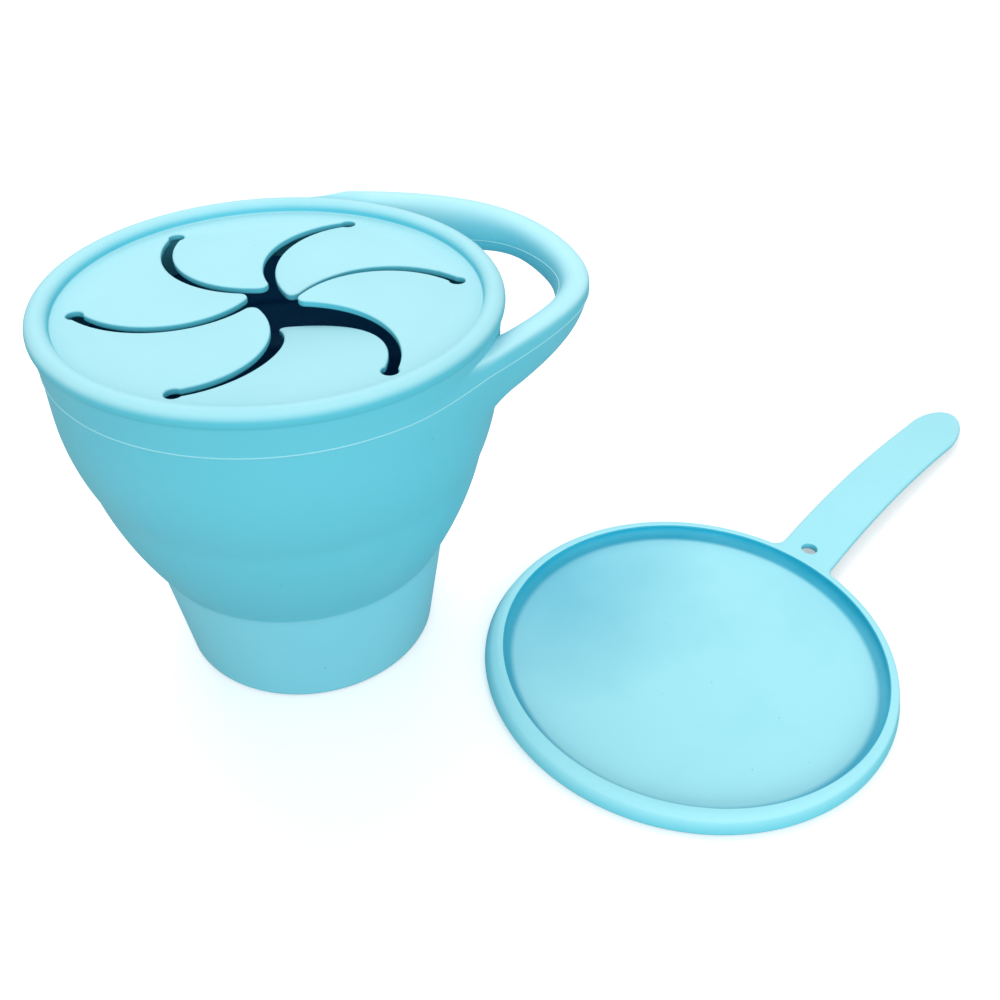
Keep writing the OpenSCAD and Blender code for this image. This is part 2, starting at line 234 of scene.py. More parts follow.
def arc(centre, radius, start, end, n):
    """Points of an arc in a plane."""
    turns = [mix(start, end, i / n) for i in range(n + 1)]
    return [(centre[0] + radius * cos(a), centre[1] + radius * sin(a)) for a in turns]


def arc_between(centre, radius, a, b, step, clockwise=False):
    """Points of the arc round centre from point a to point b."""
    start = atan2(a[1] - centre[1], a[0] - centre[0])
    end = atan2(b[1] - centre[1], b[0] - centre[0])
    if clockwise and end > start:
        end -= 2 * pi
    if not clockwise and end < start:
        end += 2 * pi
    return arc(centre, radius, start, end, max(2, round(abs(end - start) * radius / step)))


def turned(point, angle):
    """A point in plan turned about the cup's axis."""
    return (point[0] * cos(angle) - point[1] * sin(angle),
            point[0] * sin(angle) + point[1] * cos(angle))


def crossings(p, rp, q, rq):
    """The two points where two circles meet, the one on the left of the way from p to q first."""
    dx, dy = q[0] - p[0], q[1] - p[1]
    d = hypot(dx, dy)
    along = (d * d + rp * rp - rq * rq) / (2 * d)
    aside = sqrt(max(0, rp * rp - along * along))
    x, y = p[0] + along * dx / d, p[1] + along * dy / d
    return ((x - aside * dy / d, y + aside * dx / d), (x + aside * dy / d, y - aside * dx / d))


def finished(name, mesh, material, sharp=50):
    """A smooth-shaded object from a bmesh, with hard edges only where it turns sharply."""
    data = bpy.data.meshes.new(name)
    mesh.to_mesh(data)
    mesh.free()
    piece = bpy.data.objects.new(name, data)
    bpy.context.scene.collection.objects.link(piece)
    data.materials.append(material)
    data.shade_smooth()
    data.set_sharp_from_angle(angle=radians(sharp))
    return piece


def add_chain(mesh, points, closed):
    """Vertices and edges through (x, y, z) points."""
    verts = [mesh.verts.new(p) for p in points]
    follow = verts[1:] + (verts[:1] if closed else [])
    edges = [mesh.edges.new(pair) for pair in zip(verts, follow)]
    return verts, edges


def add_spun(mesh, outline, closed=True, start=0.0, centre=(0, 0, 0)):
    """An outline of (radius, level) points turned once about an upright axis."""
    turn = Matrix.Translation(centre) @ Matrix.Rotation(start, 4, "Z")
    verts, edges = add_chain(mesh, [turn @ Vector((r, 0, z)) for r, z in outline], closed)
    bmesh.ops.spin(mesh, geom=verts + edges, cent=centre, axis=(0, 0, 1),
                   angle=2 * pi, steps=AROUND, use_merge=True)


def cleaned(mesh, near=PLACE):
    """Merges points that coincide and turns all faces outward."""
    bmesh.ops.remove_doubles(mesh, verts=mesh.verts, dist=near)
    bmesh.ops.recalc_face_normals(mesh, faces=mesh.faces)


def thickened(mesh, faces, by, keep=True):
    """Extrudes faces straight up, or down where by is negative."""
    made = bmesh.ops.extrude_face_region(mesh, geom=faces, use_keep_orig=keep)["geom"]
    moved = [g for g in made if isinstance(g, bmesh.types.BMVert)]
    bmesh.ops.translate(mesh, vec=(0, 0, by), verts=moved)


def is_level(edge):
    return abs((edge.verts[0].co - edge.verts[1].co).z) < LEVEL


def rounded_edges(mesh, edges, by, segments):
    bmesh.ops.bevel(mesh, geom=edges, offset=by, affect="EDGES", segments=segments,
                    profile=0.5, material=-1)


def cut_across(mesh, place, way):
    """Adds edges where a plane crosses the mesh, so that it bends smoothly there."""
    bmesh.ops.bisect_plane(mesh, geom=mesh.verts[:] + mesh.edges[:] + mesh.faces[:], dist=LEVEL,
                           plane_co=place, plane_no=way)


# The cup's wall, as two pieces that meet unseen in the middle ring

def tier_r(z, low, high, bulge):
    """Radius on a tier between two (radius, level) ends, with a bulge at half height."""
    t = (z - low[1]) / (high[1] - low[1])
    return mix(low[0], high[0], t) + 4 * bulge * t * (1 - t)


def sharp_wall_r(z):
    """Outer radius of the wall with hard creases."""
    foot, low = (BASE_R, 0), (LOW_CREASE_R, LOW_CREASE_Z)
    high, straight = (UP_CREASE_R, UP_CREASE_Z), (COLLAR_R, STRAIGHT_Z)
    if z <= LOW_CREASE_Z:
        return tier_r(z, foot, low, 0)
    if z <= UP_CREASE_Z:
        return tier_r(z, low, high, MID_BULGE)
    if z <= STRAIGHT_Z:
        return tier_r(z, high, straight, TOP_BULGE)
    if z <= PARTING_Z:
        return COLLAR_R
    return tier_r(z, (COLLAR_R, PARTING_Z), (SHOULDER_R, SHOULDER_Z), 0)


def wall_r(z):
    """Outer radius of the wall, with its creases softly rounded."""
    shifts = [CREASE_ROUND * k / 4 for k in range(-4, 5)]
    weights = [1 - abs(k) / 5 for k in range(-4, 5)]
    rounded = sum(w * sharp_wall_r(z + d) for w, d in zip(weights, shifts)) / sum(weights)
    near = min(abs(z - LOW_CREASE_Z), abs(z - UP_CREASE_Z), abs(z - STRAIGHT_Z))
    return rounded if near < 2 * CREASE_ROUND else sharp_wall_r(z)


def wall_t(z):
    """Thickness of the wall: thin in the two folds."""
    soft = 1.5 * MM
    steps = ((LOW_CREASE_Z, FOLD_T - WALL_T), (MID_RING_Z, WALL_T - FOLD_T),
             (UP_CREASE_Z, FOLD_T - WALL_T), (COLLAR_Z, COLLAR_T - FOLD_T))
    return WALL_T + sum(change * smooth((z - at) / soft + 0.5) for at, change in steps)


def outer_and_inner(low, high, step):
    """The wall's outer face going up and its inner face coming down."""
    outer = [(wall_r(z), z) for z in spread(low, high, step)]
    inner = [(wall_r(z) - wall_t(z), z) for z in spread(high, low, step)]
    return outer, inner


def inside_marked(mesh):
    """Gives the second material, a darker copy that paints shade, to the faces inside the cup, and
    the third, a lighter copy that paints light, to the base tier.
    """
    for f in mesh.faces:
        middle = f.calc_center_median()
        r = hypot(middle.x, middle.y)
        if middle.z < STRAIGHT_Z:
            deep = wall_r(middle.z) - r > FOLD_T / 2
        else:
            deep = r < BORE_R + 0.1 * MM
        if deep and FLOOR_T / 2 < middle.z < LIP_Z - MM:
            f.material_index = INSIDE
        elif middle.z < LOW_CREASE_Z:
            f.material_index = BASE_TIER


def cup_lower_tiers(material, inside, base):
    """Foot, base tier, lower fold and the lower half of the middle ring."""
    mesh = bmesh.new()
    outer, inner = outer_and_inner(FOOT_ROUND, SEAM_Z, WALL_STEP)
    foot = arc((wall_r(FOOT_ROUND) - FOOT_ROUND, FOOT_ROUND), FOOT_ROUND, -pi / 2, 0, 6)
    cove_z = FLOOR_T + FLOOR_ROUND
    cove_x = wall_r(cove_z) - WALL_T - FLOOR_ROUND
    cove = arc((cove_x, cove_z), FLOOR_ROUND, 0, -pi / 2, 8)
    inner = [p for p in inner if p[1] > cove_z]
    level = [(r, FLOOR_T) for r in spread(cove_x, 0, 3 * MM)[1:]]
    under = [(r, 0) for r in spread(0, foot[0][0], 3 * MM)[:-1]]
    add_spun(mesh, under + foot + outer[1:] + inner + cove + level)
    cleaned(mesh)
    inside_marked(mesh)
    piece = finished("cup_lower_tiers", mesh, material)
    piece.data.materials.append(inside)
    piece.data.materials.append(base)
    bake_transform(piece)
    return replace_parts(piece, "cup_base", "lower_fold", "middle_ring")


def cup_top_tier(material, inside):
    """Upper half of the middle ring, upper fold, collar, shoulder and the lip under the lid."""
    mesh = bmesh.new()
    edge, lip = 0.1 * MM, 0.5 * MM
    outer, inner = outer_and_inner(SEAM_Z, STRAIGHT_Z, WALL_STEP)
    collar = [(COLLAR_R, z) for z in spread(STRAIGHT_Z, PARTING_Z, 1.4 * MM)[1:-1]]
    flare = [(wall_r(z), z) for z in spread(PARTING_Z, SHOULDER_Z - edge, 0.8 * MM)]
    top = arc((SHOULDER_R - edge, SHOULDER_Z - edge), edge, 0, pi / 2, 4)
    lips = (arc((LIP_R - lip, LIP_Z - lip), lip, 0, pi / 2, 4)
            + arc((BORE_R + lip, LIP_Z - lip), lip, pi / 2, pi, 4))
    bore = [(BORE_R, z) for z in spread(LIP_Z - lip, STRAIGHT_Z, 2 * MM)[1:-1]]
    add_spun(mesh, outer + collar + flare + top + [(LIP_R, SHOULDER_Z)] + lips + bore + inner)
    cleaned(mesh)
    inside_marked(mesh)
    piece = finished("cup_top_tier", mesh, material)
    piece.data.materials.append(inside)
    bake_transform(piece)
    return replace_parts(piece, "upper_fold", "cup_collar")


# The finger loop

def loop_point(t):
    """Middle line of half the loop in plan, and its direction. Where t is below 0 it follows the
    wall."""
    if t < 0:
        back = atan2(LOOP_START.y, LOOP_START.x) - LEAD_TURN * t / LEAD_T
        return LOOP_START.length * Vector((cos(back), sin(back))), Vector((sin(back), -cos(back)))
    a, b = LOOP_START, Vector((LOOP_PULL, LOOP_SPREAD))
    tip_x = LOOP_OUT - LOOP_TIP_T / 2
    c, d = Vector((tip_x, LOOP_TUCK)), Vector((tip_x, 0))
    u = 1 - t
    point = u ** 3 * a + 3 * u * u * t * b + 3 * u * t * t * c + t ** 3 * d
    way = u * u * (b - a) + 2 * u * t * (c - b) + t * t * (d - c)
    return point, way.normalized()


def loop_station(t, side):
    """Place, outward direction and half sizes of the band at t on one side of the loop."""
    point, way = loop_point(t)
    out = Vector((-way.y, way.x))
    rise = smooth(t * 1.1)
    half_w = mix(LOOP_ARM_T, LOOP_TIP_T, smooth(t * 1.6 - 0.6)) / 2
    inner_w = half_w + LOOP_FLARE * (1 - max(0, t)) ** 3
    half_h = mix(LOOP_ROOT_H, LOOP_TIP_H, rise) / 2
    level = mix(LOOP_ROOT_Z, LOOP_TIP_Z, rise) + side * point.y * LOOP_ROLL
    place = Vector((point.x, side * point.y, level))
    return place, Vector((out.x, side * out.y, 0)), half_w, inner_w, half_h, t


def loop_stations():
    """Stations from one lead-in along the loop and its tip to the other lead-in."""
    halves = [(k / LOOP_STEPS, 1) for k in range(-LEAD_STEPS, LOOP_STEPS + 1)]
    halves += [(k / LOOP_STEPS, -1) for k in range(LOOP_STEPS - 1, -LEAD_STEPS - 1, -1)]
    return [loop_station(t, side) for t, side in halves]


def melted(point, outward, height, t):
    """Lets the loop's outer face run out into the cup's wall, sinks the rest a little into the wall,
    and keeps its top off the lid."""
    r = hypot(point.x, point.y)
    wall = wall_r(min(point.z, SHOULDER_Z))
    melt = mix(MELT, MELT_TOP, smooth((height - 0.2) / 0.6))
    begin = smooth((t + LEAD_T) / (LEAD_T + MELT_END))
    over = r - wall
    if outward and over < melt:
        over = begin * max(0, over + melt) ** 2 / (4 * melt) - MELT_SUNK
    if not outward:
        over = max(-MELT_DEEP, over - max(0, NOTCH - over) ** 2 / (4 * NOTCH))
    low, z = SHOULDER_Z - MELT_DIP, point.z
    edge = low - MM
    if z > edge:
        grown = smooth((t - DIP_T[0]) / (DIP_T[1] - DIP_T[0]))
        z = mix(edge + DIP_SQUASH * (z - edge), z, grown)
    new_r, clear = wall + over, LID_R + LID_GAP
    if z > low:
        if new_r < clear + NOTCH:
            new_r = clear + max(0, new_r - clear + NOTCH) ** 2 / (4 * NOTCH)
        z = min(z, DIP_Z + DIP_SLOPE * (new_r - clear))
    return Vector((point.x * new_r / r, point.y * new_r / r, z))


def add_tube(mesh, rings, sides):
    """A closed tube: circles placed by a function and bridged one after another."""
    loops = []
    for place in rings:
        made = bmesh.ops.create_circle(mesh, cap_ends=False, segments=sides, radius=1)["verts"]
        for v in made:
            v.co = place(v.co)
        loops.append([e for v in made for e in v.link_edges if e.other_vert(v) in made])
    for one, two in zip(loops, loops[1:]):
        bmesh.ops.bridge_loops(mesh, edges=list(dict.fromkeys(one + two)))
    for end in (loops[0], loops[-1]):
        bmesh.ops.edgeloop_fill(mesh, edges=list(dict.fromkeys(end)))
    return loops


def band_ring(station):
    """Puts a unit circle's point on the band's rounded-oblong section."""
    place, out, half_w, inner_w, half_h, t = station

    def put(p):
        bent = [abs(v) ** LOOP_CORNER * (1 if v > 0 else -1) for v in (p.x, p.y)]
        h = half_h * bent[1]
        w = (half_w if bent[0] > 0 else inner_w) * bent[0] + h * tan(LOOP_LEAN)
        return melted(place + out * w + Vector((0, 0, h)), bent[0] > 0, bent[1], t)
    return put


def line_ring(station, side):
    """Puts a unit circle's point on the thin parting line, on the outer or inner face."""
    place, out, half_w, inner_w, half_h, t = station
    rise = min(0.95, max(-0.95, (PARTING_Z - place.z) / half_h))
    turn = asin(abs(rise) ** (1 / LOOP_CORNER))
    reach = (half_w if side > 0 else -inner_w) * cos(turn) ** LOOP_CORNER
    middle = place + out * (reach + rise * half_h * tan(LOOP_LEAN)) + Vector((0, 0, rise * half_h))
    middle = melted(middle, side > 0, rise, t)
    return lambda p: middle + out * p.x * LINE_R + Vector((0, 0, p.y * LINE_R))


def finger_loop(material):
    """The loop as one closed tube, sunk into the collar at both roots."""
    mesh = bmesh.new()
    add_tube(mesh, [band_ring(s) for s in loop_stations()], LOOP_SIDES)
    cleaned(mesh, 1e-7)
    piece = finished("finger_loop", mesh, material)
    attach(piece, "collar")
    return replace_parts(piece, "carry_handle")


def parting_line(material):
    """The mould's thin parting line round the collar and along both faces of the loop."""
    mesh = bmesh.new()
    for side in (1, -1):
        add_tube(mesh, [line_ring(s, side) for s in loop_stations()[2:-2]], 8)
    add_spun(mesh, arc((COLLAR_R, PARTING_Z), LINE_R, 0, 2 * pi, 8)[:-1])
    cleaned(mesh, 1e-8)
    piece = finished("parting_line", mesh, material)
    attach(piece, "collar")
    return piece


# The snack lid

def slit_centre(k):
    """Middle of the circle that slit k is an arc of."""
    x = HOLE_PITCH - SLIT_R * cos(SLIT_LEAN)
    y = -SLIT_R * sin(SLIT_LEAN)
    return turned((x, y), k * SLIT_STEP)


def chord_crossing(centre, radius, k, far):
    """Where a circle meets the hinge line between holes k and k + 1."""
    x, y = turned(centre, -(k + 0.5) * SLIT_STEP)
    reach = sqrt(radius ** 2 - (HINGE_R - x) ** 2)
    return turned((HINGE_R, y + (reach if far else -reach)), (k + 0.5) * SLIT_STEP)


def hole(k):
    return turned((HOLE_PITCH, 0), k * SLIT_STEP)


def flap_marks(k):
    """The corners of flap k: on hole k + 1, on slit k + 1, round the tip, and on slit k."""
    p, q, end = slit_centre(k), slit_centre(k + 1), hole(k + 1)
    wide, slim = SLIT_R + SLIT_W / 2, SLIT_R - SLIT_W / 2
    at_hole = chord_crossing(end, HOLE_R, k, False)
    slit_start = min(crossings(q, slim, end, HOLE_R), key=lambda c: hypot(c[0], c[1]))
    tip = crossings(p, wide + TIP_R, q, slim - TIP_R)[0]
    tip_in = tuple(q[i] + (tip[i] - q[i]) * slim / (slim - TIP_R) for i in range(2))
    tip_out = tuple(p[i] + (tip[i] - p[i]) * wide / (wide + TIP_R) for i in range(2))
    root = chord_crossing(p, wide, k, True)
    return {"p": p, "q": q, "tip": tip, "wide": wide, "slim": slim, "at_hole": at_hole,
            "slit_start": slit_start, "tip_in": tip_in, "tip_out": tip_out, "root": root, "end": end}


def raised(points, z):
    """Plan points at a level, turned with the slits, without neighbours that coincide."""
    kept = []
    for point in points:
        if not kept or hypot(point[0] - kept[-1][0], point[1] - kept[-1][1]) > 0.02 * MM:
            kept.append(point)
    return [Vector((*turned(p, SLIT_TURN), z)) for p in kept]


def hinge_way(k):
    """Direction from the lid's middle to the middle of flap k's hinge line."""
    way = SLIT_TURN + (k + 0.5) * SLIT_STEP
    return Vector((cos(way), sin(way), 0))


def on_hinge(edge, k):
    return all(abs(v.co.dot(hinge_way(k)) - HINGE_R) < PLACE for v in edge.verts)


def lid_flap(k, material):
    """One crescent flap with rounded edges, drooping a little from its hinge line."""
    m = flap_marks(k)
    step = SLIT_POINTS
    outline = (arc_between(m["end"], HOLE_R, m["at_hole"], m["slit_start"], step, clockwise=True)
               + arc_between(m["q"], m["slim"], m["slit_start"], m["tip_in"], step)
               + arc_between(m["tip"], TIP_R, m["tip_in"], m["tip_out"], step)
               + arc_between(m["p"], m["wide"], m["tip_out"], m["root"], step, clockwise=True))
    mesh = bmesh.new()
    face = mesh.faces.new([mesh.verts.new(p) for p in raised(outline, SKIN_Z - SKIN_T)])
    thickened(mesh, [face], SKIN_T, keep=False)
    bmesh.ops.recalc_face_normals(mesh, faces=mesh.faces)
    rims = [e for e in mesh.edges if is_level(e) and not on_hinge(e, k)]
    rounded_edges(mesh, rims, EDGE_ROUND, 4)
    out = hinge_way(k)
    for i in range(1, FLAP_CUTS + 1):
        cut_across(mesh, out * (HINGE_R - i * MM), out)
    reach = HINGE_R - Vector((*turned(m["tip"], SLIT_TURN), 0)).dot(out)
    for v in mesh.verts:
        v.co.z -= DROOP[k] * (max(0, HINGE_R - v.co.dot(out)) / reach) ** 2
    bmesh.ops.recalc_face_normals(mesh, faces=mesh.faces)
    piece = finished("lid_flap_%d" % (k + 1), mesh, material)
    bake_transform(piece)
    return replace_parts(piece, "flap_%d" % (k + 1))


def skin_sector(k):
    """Plan of the lid's fixed skin between end holes k and k + 1, outside the hinge line."""
    m = flap_marks(k)
    start, step = hole(k), SLIT_POINTS
    near = turned((HOLE_PITCH + HOLE_R, 0), k * SLIT_STEP)
    far = turned((HOLE_PITCH + HOLE_R, 0), (k + 1) * SLIT_STEP)
    meet = min(crossings(m["p"], m["wide"], start, HOLE_R), key=lambda c: dist(c, m["root"]))
    edge = AROUND // SLITS
    rim = arc((0, 0), SKIN_EDGE_R, (k + 1) * SLIT_STEP, k * SLIT_STEP, edge)
    inner = (arc_between(start, HOLE_R, near, meet, step)
             + arc_between(m["p"], m["wide"], meet, m["root"], step)
             + [m["at_hole"]]
             + arc_between(m["end"], HOLE_R, m["at_hole"], far, step))
    return inner, rim


def lid_ring(material):
    """Bead, groove over the cup's lip, plug skirt, and the skin out to the flaps' hinge lines."""
    mesh = bmesh.new()
    for k in range(SLITS):
        inner, rim = skin_sector(k)
        points = raised(inner, SKIN_Z - SKIN_T) + raised(rim, SKIN_Z - SKIN_T)
        mesh.faces.new([mesh.verts.new(p) for p in points])
    bmesh.ops.remove_doubles(mesh, verts=mesh.verts, dist=2 * PLACE)
    thickened(mesh, mesh.faces[:], SKIN_T)
    outside = [f for f in mesh.faces
               if all(hypot(v.co.x, v.co.y) > SKIN_EDGE_R - PLACE for v in f.verts)]
    bmesh.ops.delete(mesh, geom=outside, context="FACES_ONLY")
    bmesh.ops.recalc_face_normals(mesh, faces=mesh.faces)
    rims = [e for e in mesh.edges
            if is_level(e) and len(e.link_faces) == 2 and abs(e.calc_face_angle(0)) > 1
            and not any(on_hinge(e, k) for k in range(SLITS))]
    rounded_edges(mesh, rims, EDGE_ROUND, 4)
    add_spun(mesh, lid_outline(), closed=False, start=SLIT_TURN)
    cleaned(mesh, 3e-6)
    piece = finished("lid_ring", mesh, material)
    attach(piece, "snack_lid")
    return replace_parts(piece, "lid_frame")


def lid_outline():
    """The lid's section from the skin's top face round the bead and back to its under face."""
    bead = BEAD_W / 2
    bead_x, bead_z = LID_R - bead, BEAD_Z - bead
    root, tip = 0.45 * MM, 0.5 * MM
    foot_z = SHOULDER_Z + 0.05 * MM
    foot_turn = asin((bead_z - foot_z) / bead)
    groove_z = LIP_Z + LID_GAP
    skirt_r = BORE_R - LID_GAP
    inside = LID_R - BEAD_W
    return ([(r, SKIN_Z) for r in spread(SKIN_EDGE_R, inside - root, 0.5 * MM)]
            + arc((inside - root, SKIN_Z + root), root, -pi / 2, 0, 4)[1:]
            + arc((bead_x, bead_z), bead, pi, -foot_turn, 26)[1:]
            + [(LIP_R + LID_GAP, foot_z), (LIP_R + LID_GAP, groove_z), (skirt_r, groove_z)]
            + [(skirt_r, SKIRT_Z + tip)]
            + arc((skirt_r - tip, SKIRT_Z + tip), tip, 0, -pi / 2, 3)[1:]
            + arc((skirt_r - SKIRT_T + tip, SKIRT_Z + tip), tip, -pi / 2, -pi, 3)[1:]
            + [(skirt_r - SKIRT_T, SKIN_Z - SKIN_T), (SKIN_EDGE_R, SKIN_Z - SKIN_T)])


# The cover and its strap

def cover_dish(material, inside):
    """Flat plate with a raised rim and the small lip that holds on to the lid's bead. Its material
    changes to the second one, a darker copy that paints shade, on the floor and the wall inside the
    rim."""
    lip_r = COVER_R - RIM_W
    lip_round = 0.4 * MM
    floor_x = DISH_R - DISH_COVE
    top_r = COVER_R - RIM_DRAFT - RIM_ROUND
    outline = ([(r, 0) for r in spread(0, COVER_R - FOOT_EDGE, 4 * MM)[:-1]]
               + arc((COVER_R - FOOT_EDGE, FOOT_EDGE), FOOT_EDGE, -pi / 2, 0, 5)
               + arc((top_r, COVER_H - RIM_ROUND), RIM_ROUND, radians(20), pi / 2, 8)
               + [((top_r + lip_r + lip_round) / 2, COVER_H)]
               + arc((lip_r + lip_round, COVER_H - lip_round), lip_round, pi / 2, pi, 4)
               + arc((floor_x, PLATE_T + DISH_COVE), DISH_COVE, 0, -pi / 2, 10)
               + [(r, PLATE_T) for r in spread(floor_x, 0, 4 * MM)[1:]])
    mesh = bmesh.new()
    add_spun(mesh, outline, centre=COVER_AT)
    for v in mesh.verts:
        if v.co.z > PLATE_T - PLACE:
            v.co += RIM_SHIFT * smooth((COVER_R - (v.co.xy - COVER_AT.xy).length) / (RIM_W / 2))
    cleaned(mesh)
    for f in mesh.faces:
        middle = f.calc_center_median()
        wall_in = f.normal.xy.dot((DISH_AT - middle).xy.normalized()) > 0.3
        level = middle.z < COVER_H / 2 and f.normal.z > 0.9
        if middle.z > PLATE_T / 2 and (wall_in or level):
            f.material_index = INSIDE
    piece = finished("cover_dish", mesh, material)
    piece.data.materials.append(inside)
    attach(piece, "cover")
    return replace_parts(piece, "cover_disc")


def strap_half_w(u):
    """Half the strap's width at u along it: even, then rounded off to the tip."""
    late = max(0, (u - STRAP_TAPER) / (STRAP_L - STRAP_TAPER))
    return STRAP_W / 2 * sqrt(max(0, 1 - late ** 2))


def strap_side(u):
    """How far the strap's middle line lies to one side."""
    t = u / STRAP_L
    bow = mix(STRAP_ROOT_SIDE, STRAP_TIP_SIDE, t) + 4 * STRAP_BOW * t * (1 - t)
    return bow + STRAP_SKEW * max(0, u - STRAP_TAPER)


def strap_top(u):
    """Level of the strap's upper face over the table."""
    t = max(0, u / STRAP_L)
    return mix(COVER_H - STRAP_SINK, STRAP_TIP_Z + STRAP_T, t) + 4 * STRAP_ARCH * t * (1 - t)


def strap_fillet(side):
    """Hollow corner from the cover's rim to one side of the strap, and where the side starts."""
    rim_r, start = COVER_R - STRAP_ON_RIM, 0
    for _ in range(4):
        across = abs(strap_side(start) + side * STRAP_W / 2) + STRAP_FILLET
        start = sqrt((rim_r + STRAP_FILLET) ** 2 - across ** 2) - COVER_R
    on_rim = rim_r / (rim_r + STRAP_FILLET)
    rim_end = (on_rim * (start + COVER_R) - COVER_R, side * on_rim * across)
    side_end = (start, side * (across - STRAP_FILLET))
    ends = (side_end, rim_end) if side > 0 else (rim_end, side_end)
    return arc_between((start, side * across), STRAP_FILLET, *ends, 0.4 * MM, clockwise=True), start


def cover_strap(material):
    """The strap with its hole, from the cover's rim to the rounded tip, gently arched."""
    near, near_start = strap_fillet(-1)
    far, far_start = strap_fillet(1)
    turns = [pi / 2 * i / 90 for i in range(1, 90)]
    near_side = [mix(near_start, STRAP_L, sin(a)) for a in turns]
    far_side = [mix(far_start, STRAP_L, sin(a)) for a in reversed(turns)]
    inside = COVER_R - STRAP_IN_RIM
    deep = [(inside * (x + COVER_R) / COVER_R - COVER_R, inside * y / COVER_R)
            for x, y in (far[-1], near[0])]
    outline = (near + [(u, strap_side(u) - strap_half_w(u)) for u in near_side]
               + [(STRAP_L, strap_side(STRAP_L))]
               + [(u, strap_side(u) + strap_half_w(u)) for u in far_side] + far
               + arc_between((-COVER_R, 0), inside, *deep, 0.6 * MM, clockwise=True))
    mesh = bmesh.new()
    rim = [mesh.verts.new((x, y, 0)) for x, y in outline]
    ring = [mesh.verts.new((x, y, 0)) for x, y in arc(STRAP_HOLE, STRAP_HOLE_R, 0, 2 * pi, 48)[:-1]]
    edges = [mesh.edges.new(pair) for loop in (rim, ring) for pair in zip(loop, loop[1:] + loop[:1])]
    bmesh.ops.triangle_fill(mesh, edges=edges, use_beauty=True)
    thickened(mesh, mesh.faces[:], -STRAP_T)
    bmesh.ops.recalc_face_normals(mesh, faces=mesh.faces)

    def in_hole(e):
        return (e.verts[0].co.xy - Vector(STRAP_HOLE)).length < STRAP_HOLE_R + ON_EDGE

    def in_rim(e):
        return all(hypot(v.co.x + COVER_R, v.co.y) < inside + ON_EDGE for v in e.verts)

    for hole_edge, rounding in ((True, STRAP_HOLE_ROUND), (False, STRAP_EDGE_ROUND)):
        sharp = [e for e in mesh.edges if abs(e.calc_face_angle(0)) > 1 and is_level(e)
                 and in_hole(e) == hole_edge and not in_rim(e)]
        rounded_edges(mesh, sharp, rounding, 5)
    for i in range(1, STRAP_CUTS + 1):
        cut_across(mesh, (i * STRAP_CUT_STEP, 0, 0), (1, 0, 0))
    for v in mesh.verts:
        v.co.z += strap_top(v.co.x)
    mesh.transform(Matrix.Translation(COVER_AT) @ Matrix.Rotation(STRAP_TURN, 4, "Z")
                   @ Matrix.Translation((COVER_R, 0, 0)))
    bmesh.ops.recalc_face_normals(mesh, faces=mesh.faces)
    piece = finished("cover_strap_skin", mesh, material)
    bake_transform(piece)
    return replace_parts(piece, "cover_strap")


# Silicone finish

def node(tree, kind, feeds=None, **settings):
    """A node with its settings and values, and with links into the inputs that feeds names."""
    made = tree.nodes.new(kind)
    for key, value in settings.items():
        if key in made.inputs:
            made.inputs[key].default_value = value
        else:
            setattr(made, key, value)
    for key, source in (feeds or {}).items():
        tree.links.new(source, made.inputs[key])
    return made


def maths(tree, operation, *inputs, **settings):
    """The result of a maths node on sockets and plain numbers."""
    made = node(tree, "ShaderNodeMath", operation=operation, **settings)
    for i, given in enumerate(inputs):
        if isinstance(given, (int, float)):
            made.inputs[i].default_value = given
        else:
            tree.links.new(given, made.inputs[i])
    return made.outputs[0]


def mapped(tree, source, low, high, to=(0, 1), smoothly=False):
    """The result of mapping a socket from the range low to high."""
    kind = "SMOOTHSTEP" if smoothly else "LINEAR"
    made = node(tree, "ShaderNodeMapRange", {"Value": source}, interpolation_type=kind,
                **{"To Min": to[0], "To Max": to[1]})
    for name, end in (("From Min", low), ("From Max", high)):
        if isinstance(end, (int, float)):
            made.inputs[name].default_value = end
        else:
            tree.links.new(end, made.inputs[name])
    return made.outputs["Result"]


def group_socket(tree, name, way, kind="NodeSocketFloat", value=None):
    made = tree.interface.new_socket(name=name, in_out=way, socket_type=kind)
    if value is not None:
        made.default_value = value


